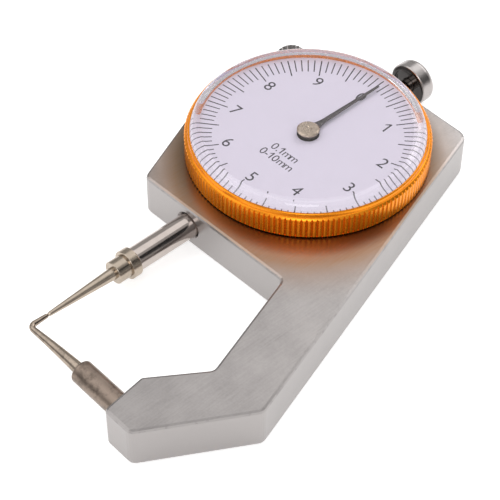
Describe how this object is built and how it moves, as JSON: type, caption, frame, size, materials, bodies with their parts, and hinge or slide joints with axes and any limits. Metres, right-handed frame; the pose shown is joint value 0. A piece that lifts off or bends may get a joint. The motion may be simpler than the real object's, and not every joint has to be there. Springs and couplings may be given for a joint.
{
  "type": "dial thickness gauge",
  "caption": "Pocket dial thickness gauge with an orange knurled bezel, a spring-loaded rack spindle with a needle point and a bent anvil needle on an offset arm.",
  "frame": {"origin": "on the dial's axis, on the flat outer face of the rear cover, which lies level with the frame's back face", "axes": "+X to the right on the dial, +Y along the spindle towards the lift knob, +Z out of the dial"},
  "size_m": [0.061, 0.0923, 0.0146],
  "materials": {
    "ground_zinc": "ground and satin plated",
    "sheet_steel": "brushed",
    "screw_steel": "polished",
    "movement_brass": "machined",
    "polished_spindle": "polished",
    "nickel_plate": "machined, nickel plated",
    "satin_chrome": "satin chrome",
    "spring_wire": "drawn wire",
    "orange_anodised": "orange anodised, knurled",
    "dial_face": "matt white print ground",
    "crystal_clear": "clear moulded",
    "pointer_dark": "blackened",
    "hub_nickel": "turned"
  },
  "bodies": {
    "housing": {"frame_body": "ground_zinc", "rear_cover": "sheet_steel", "cover_screw_1": "screw_steel", "cover_screw_2": "screw_steel", "cover_screw_3": "screw_steel", "cover_screw_4": "screw_steel", "movement_plate": "movement_brass", "bridge_screw_1": "screw_steel", "bridge_screw_2": "screw_steel", "front_bearing": "movement_brass", "rear_bearing": "movement_brass", "lower_bush": "movement_brass", "upper_bush": "movement_brass", "return_spring": "spring_wire", "anvil_post": "nickel_plate", "anvil_needle": "nickel_plate", "bezel_spring": "spring_wire"},
    "plunger": {"spindle": "polished_spindle", "guide_pin": "screw_steel", "contact_point": "nickel_plate", "lift_knob": "satin_chrome"},
    "hand": {"pinion": "movement_brass", "pointer": "pointer_dark", "pointer_hub": "hub_nickel", "hub_cap": "hub_nickel"},
    "bezel_group": {"bezel": "orange_anodised", "dial_plate": "dial_face", "crystal": "crystal_clear"},
    "lock": {"lock_screw": "satin_chrome"}
  },
  "joints": [
    {"name": "spindle_slide", "type": "slide", "parent": "housing", "child": "plunger", "axis": [0, 1, 0], "range_m": [0, 0.01], "stiffness_N_per_m": 60, "springref_m": -0.012, "deforming": ["return_spring"]},
    {"name": "pointer_turn", "type": "hinge", "parent": "housing", "child": "hand", "pos_m": [0, 0, 0.0041], "axis": [0, 0, 1], "range_deg": [-360, 0]},
    {"name": "bezel_turn", "type": "hinge", "parent": "housing", "child": "bezel_group", "pos_m": [0, 0, 0.0083], "axis": [0, 0, 1], "continuous": true},
    {"name": "lock_turn", "type": "hinge", "parent": "housing", "child": "lock", "pos_m": [-0.01899, 0.01474, 0.0041], "axis": [-0.7863, 0.6178, 0], "range_deg": [-180, 360]}
  ],
  "couplings": [
    {"joint": "pointer_turn", "follows": "spindle_slide", "rad_per_m": -628.32}
  ]
}
